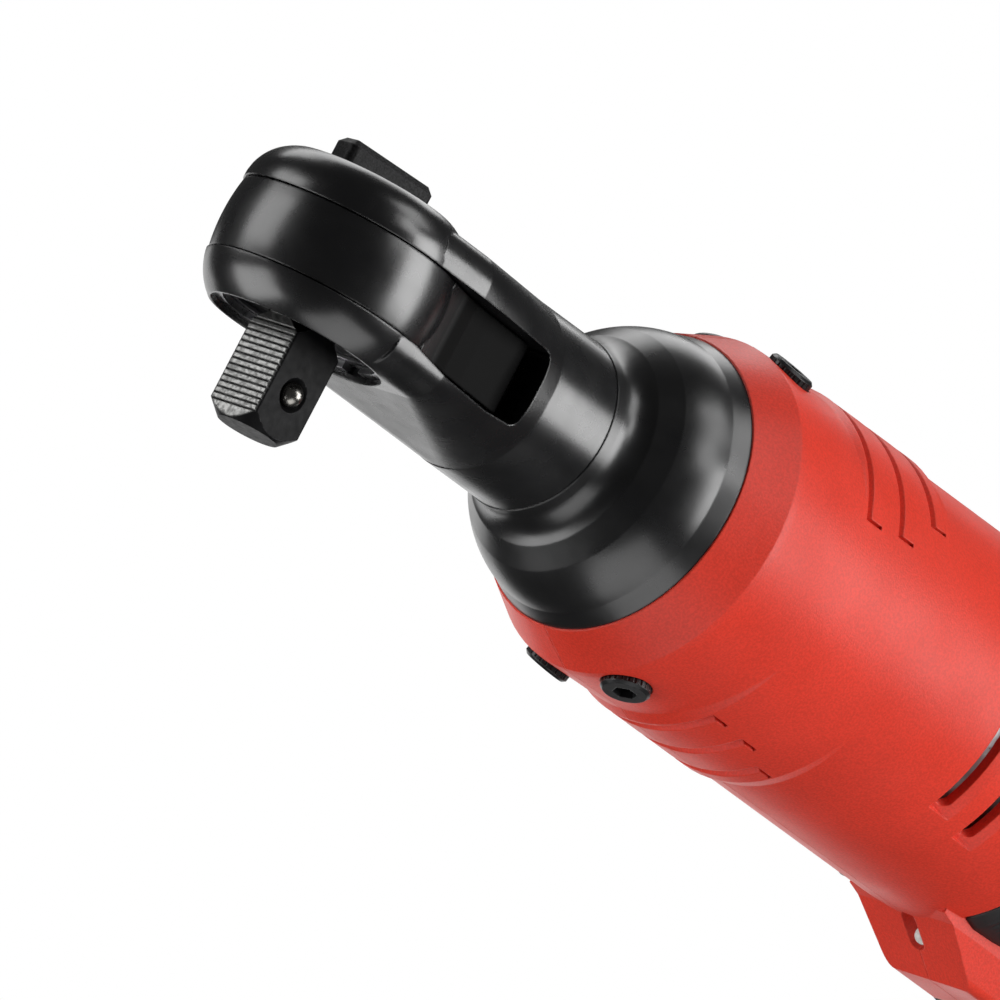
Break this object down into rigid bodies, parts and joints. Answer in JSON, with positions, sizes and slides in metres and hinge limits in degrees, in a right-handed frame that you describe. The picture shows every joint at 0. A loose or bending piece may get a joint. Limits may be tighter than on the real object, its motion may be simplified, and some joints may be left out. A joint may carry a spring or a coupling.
{
  "type": "cordless ratchet wrench",
  "caption": "Battery-powered ratchet wrench: square-drive forked head, tapered gear case, round motor housing, rubber grip, paddle trigger and slide-out battery.",
  "frame": {"origin": "centre of the square drive's tip face, on the drive axis", "axes": "+X along the tool's long axis from the head to the battery, +Z along the drive axis from its tip to the reversing knob, +Y to the tool's right-hand shell"},
  "size_m": [0.3006, 0.0524, 0.057],
  "materials": {
    "head_black": "gloss black finish over forged steel",
    "drive_steel": "black-phosphated steel, ground bright on the ribbed face",
    "knob_black": "fine sandblasted black",
    "hard_steel": "ground steel",
    "spring_steel": "bright spring wire",
    "ball_chrome": "polished ball",
    "bearing_steel": "polished races",
    "bushing_bronze": "sintered bronze",
    "case_black": "satin black coated die casting",
    "motor_zinc": "zinc-plated steel",
    "magnet_grey": "dark ferrite",
    "armature_iron": "varnished laminations",
    "winding_copper": "enamelled copper",
    "inner_plastic": "moulded nylon",
    "brush_carbon": "pressed carbon",
    "housing_red": "fine spark-textured moulding",
    "grip_rubber": "overmoulded rubber with fine curved lines",
    "screw_black": "black oxide",
    "trigger_black": "satin moulding",
    "board_green": "solder mask",
    "lamp_clear": "clear lamp dome",
    "terminal_tan": "terminal block with plated blades",
    "battery_black": "fine-textured moulding",
    "cell_steel": "shrink-wrapped cells",
    "latch_red": "satin moulding"
  },
  "bodies": {
    "tool": {"ratchet_head": "head_black", "retaining_ring": "hard_steel", "needle_bearing": "bearing_steel", "crank_ball_bearing": "bearing_steel", "gear_case": "case_black", "ring_gear": "hard_steel", "motor_plate": "motor_zinc", "motor_screws": "screw_black", "motor_can": "motor_zinc", "motor_magnets": "magnet_grey", "motor_bushings": "bushing_bronze", "motor_end_cap": "inner_plastic", "carbon_brushes": "brush_carbon", "housing_left": "housing_red", "housing_right": "housing_red", "grip_left": "grip_rubber", "grip_right": "grip_rubber", "cap_screws": "screw_black", "case_screws": "screw_black", "trigger_pin": "hard_steel", "trigger_switch": "inner_plastic", "control_board": "board_green", "work_lamp": "lamp_clear", "tool_terminals": "terminal_tan"},
    "yoke": {"ratchet_yoke": "head_black"},
    "anvil": {"anvil": "drive_steel", "pawl_pin": "hard_steel", "detent_spring": "spring_steel", "thrust_washer": "hard_steel"},
    "pawl": {"pawl": "hard_steel"},
    "selector": {"reverse_knob": "knob_black", "selector_plunger": "hard_steel", "selector_spring": "spring_steel"},
    "ball": {"detent_ball": "ball_chrome"},
    "crank": {"crankshaft": "hard_steel", "drive_bushing": "bushing_bronze", "planet_carrier": "hard_steel", "planet_pins": "hard_steel"},
    "planet_1": {"planet_gear_1": "hard_steel"},
    "planet_2": {"planet_gear_2": "hard_steel"},
    "planet_3": {"planet_gear_3": "hard_steel"},
    "rotor": {"sun_pinion": "hard_steel", "motor_shaft": "hard_steel", "motor_armature": "armature_iron", "motor_windings": "winding_copper", "motor_commutator": "winding_copper", "motor_fan": "inner_plastic"},
    "trigger": {"trigger_paddle": "trigger_black"},
    "plunger": {"switch_plunger": "inner_plastic"},
    "battery": {"battery_case_left": "battery_black", "battery_case_right": "battery_black", "battery_cells": "cell_steel"},
    "latch_left": {"latch_left": "latch_red"},
    "latch_right": {"latch_right": "latch_red"}
  },
  "joints": [
    {"name": "anvil_spin", "type": "hinge", "parent": "tool", "child": "anvil", "pos_m": [0, 0, 0.0248], "axis": [0, 0, 1], "continuous": true},
    {"name": "yoke_swing", "type": "hinge", "parent": "tool", "child": "yoke", "pos_m": [0, 0, 0.0248], "axis": [0, 0, 1], "range_deg": [-5, 5]},
    {"name": "selector_turn", "type": "hinge", "parent": "anvil", "child": "selector", "pos_m": [0, 0, 0.0248], "axis": [0, 0, 1], "range_deg": [-35, 35]},
    {"name": "pawl_rock", "type": "hinge", "parent": "anvil", "child": "pawl", "pos_m": [-0.0075, 0, 0.0248], "axis": [0, 0, 1], "range_deg": [-12, 12]},
    {"name": "detent_press", "type": "slide", "parent": "anvil", "child": "ball", "axis": [0, 1, 0], "range_m": [0, 0.001], "stiffness_N_per_m": 800},
    {"name": "crank_spin", "type": "hinge", "parent": "tool", "child": "crank", "pos_m": [0.05, 0, 0.0248], "axis": [1, 0, 0], "continuous": true},
    {"name": "rotor_spin", "type": "hinge", "parent": "tool", "child": "rotor", "pos_m": [0.1, 0, 0.0248], "axis": [1, 0, 0], "continuous": true},
    {"name": "trigger_pull", "type": "hinge", "parent": "tool", "child": "trigger", "pos_m": [0.1655, 0, -0.0018], "axis": [0, -1, 0], "range_deg": [0, 4], "stiffness_Nm_per_rad": 2},
    {"name": "plunger_press", "type": "slide", "parent": "tool", "child": "plunger", "axis": [0, 0, 1], "range_m": [0, 0.0012]},
    {"name": "battery_slide", "type": "slide", "parent": "tool", "child": "battery", "axis": [1, 0, 0], "range_m": [0, 0.03]},
    {"name": "latch_left_press", "type": "slide", "parent": "battery", "child": "latch_left", "axis": [0, 1, 0], "range_m": [0, 0.0014], "stiffness_N_per_m": 1500},
    {"name": "latch_right_press", "type": "slide", "parent": "battery", "child": "latch_right", "axis": [0, -1, 0], "range_m": [0, 0.0014], "stiffness_N_per_m": 1500},
    {"name": "planet_1_spin", "type": "hinge", "parent": "crank", "child": "planet_1", "pos_m": [0.075, 0.0105, 0.0248], "axis": [1, 0, 0], "continuous": true},
    {"name": "planet_2_spin", "type": "hinge", "parent": "crank", "child": "planet_2", "pos_m": [0.075, -0.00525, 0.03389], "axis": [1, 0, 0], "continuous": true},
    {"name": "planet_3_spin", "type": "hinge", "parent": "crank", "child": "planet_3", "pos_m": [0.075, -0.00525, 0.01571], "axis": [1, 0, 0], "continuous": true}
  ],
  "couplings": [
    {"joint": "pawl_rock", "follows": "selector_turn", "ratio": -0.22857},
    {"joint": "crank_spin", "follows": "rotor_spin", "ratio": 0.2},
    {"joint": "plunger_press", "follows": "trigger_pull", "m_per_rad": 0.0165},
    {"joint": "planet_1_spin", "follows": "rotor_spin", "ratio": -0.53333},
    {"joint": "planet_2_spin", "follows": "rotor_spin", "ratio": -0.53333},
    {"joint": "planet_3_spin", "follows": "rotor_spin", "ratio": -0.53333}
  ]
}
